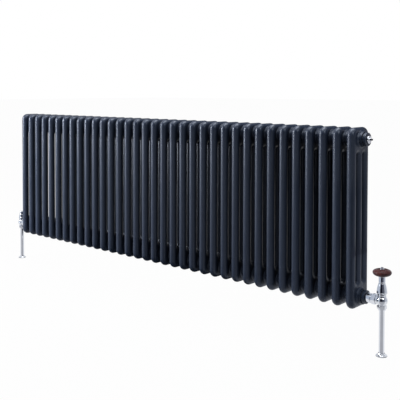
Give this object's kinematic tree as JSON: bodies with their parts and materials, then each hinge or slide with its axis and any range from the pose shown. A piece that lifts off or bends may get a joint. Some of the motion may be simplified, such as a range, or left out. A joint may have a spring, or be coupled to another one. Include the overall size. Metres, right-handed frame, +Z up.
{
  "type": "radiator",
  "caption": "Three-column tubular radiator in dark paint, with a wheel-head valve on one end and a capped lockshield valve on the other, each on a chrome pipe from the floor.",
  "frame": {"origin": "midway along the axis of the upper hub row, where wall hooks carry the radiator", "axes": "+X along the radiator towards the wheel-head valve, -Y is the front and +Y faces the wall, +Z is up"},
  "size_m": [1.725, 0.091, 0.62],
  "materials": {
    "anthracite_paint": "satin",
    "chrome": "polished",
    "brass": "machined",
    "rubber": "matt",
    "dark_wood": "glossy varnish",
    "dark_steel": "dark"
  },
  "bodies": {
    "radiator": {"section_01": "anthracite_paint", "section_02": "anthracite_paint", "section_03": "anthracite_paint", "section_04": "anthracite_paint", "section_05": "anthracite_paint", "section_06": "anthracite_paint", "section_07": "anthracite_paint", "section_08": "anthracite_paint", "section_09": "anthracite_paint", "section_10": "anthracite_paint", "section_11": "anthracite_paint", "section_12": "anthracite_paint", "section_13": "anthracite_paint", "section_14": "anthracite_paint", "section_15": "anthracite_paint", "section_16": "anthracite_paint", "section_17": "anthracite_paint", "section_18": "anthracite_paint", "section_19": "anthracite_paint", "section_20": "anthracite_paint", "section_21": "anthracite_paint", "section_22": "anthracite_paint", "section_23": "anthracite_paint", "section_24": "anthracite_paint", "section_25": "anthracite_paint", "section_26": "anthracite_paint", "section_27": "anthracite_paint", "section_28": "anthracite_paint", "section_29": "anthracite_paint", "section_30": "anthracite_paint", "section_31": "anthracite_paint", "section_32": "anthracite_paint", "section_33": "anthracite_paint", "section_34": "anthracite_paint", "section_35": "anthracite_paint", "reducing_bushes": "anthracite_paint", "seal_rings": "rubber", "blanking_plug": "chrome", "vent_plug": "chrome", "wheel_valve_body": "chrome", "lockshield_body": "chrome", "union_nuts": "chrome", "union_tails": "chrome", "valve_bonnets": "brass", "bell_cover": "chrome", "compression_nuts": "chrome", "olives": "brass", "floor_pipes": "chrome", "floor_flanges": "chrome"},
    "wheel_head": {"handwheel": "dark_wood", "wheel_collar": "chrome", "wheel_finial": "chrome", "wheel_spindle": "brass"},
    "wheel_jumper": {"wheel_valve_jumper": "brass", "wheel_valve_washer": "rubber"},
    "lock_spindle": {"lockshield_spindle": "brass"},
    "lock_jumper": {"lockshield_jumper": "brass", "lockshield_washer": "rubber"},
    "lock_cap": {"lockshield_cap": "chrome"},
    "vent_screw": {"bleed_screw": "dark_steel"}
  },
  "joints": [
    {"name": "wheel_turn", "type": "hinge", "parent": "radiator", "child": "wheel_head", "pos_m": [0.842, 0, -0.435], "axis": [0, 0, 1], "range_deg": [0, 900]},
    {"name": "wheel_valve_lift", "type": "slide", "parent": "radiator", "child": "wheel_jumper", "axis": [0, 0, 1], "range_m": [0, 0.00375]},
    {"name": "lockshield_turn", "type": "hinge", "parent": "radiator", "child": "lock_spindle", "pos_m": [-0.842, 0, -0.435], "axis": [0, 0, 1], "range_deg": [0, 900]},
    {"name": "lockshield_lift", "type": "slide", "parent": "radiator", "child": "lock_jumper", "axis": [0, 0, 1], "range_m": [0, 0.00375]},
    {"name": "lockshield_cap_lift", "type": "slide", "parent": "radiator", "child": "lock_cap", "axis": [0, 0, 1], "range_m": [0, 0.03]},
    {"name": "bleed_turn", "type": "hinge", "parent": "radiator", "child": "vent_screw", "pos_m": [0.8, 0, 0], "axis": [1, 0, 0], "range_deg": [0, 360]}
  ],
  "couplings": [
    {"joint": "wheel_turn", "follows": "wheel_valve_lift", "rad_per_m": 4188.8},
    {"joint": "lockshield_turn", "follows": "lockshield_lift", "rad_per_m": 4188.8}
  ]
}
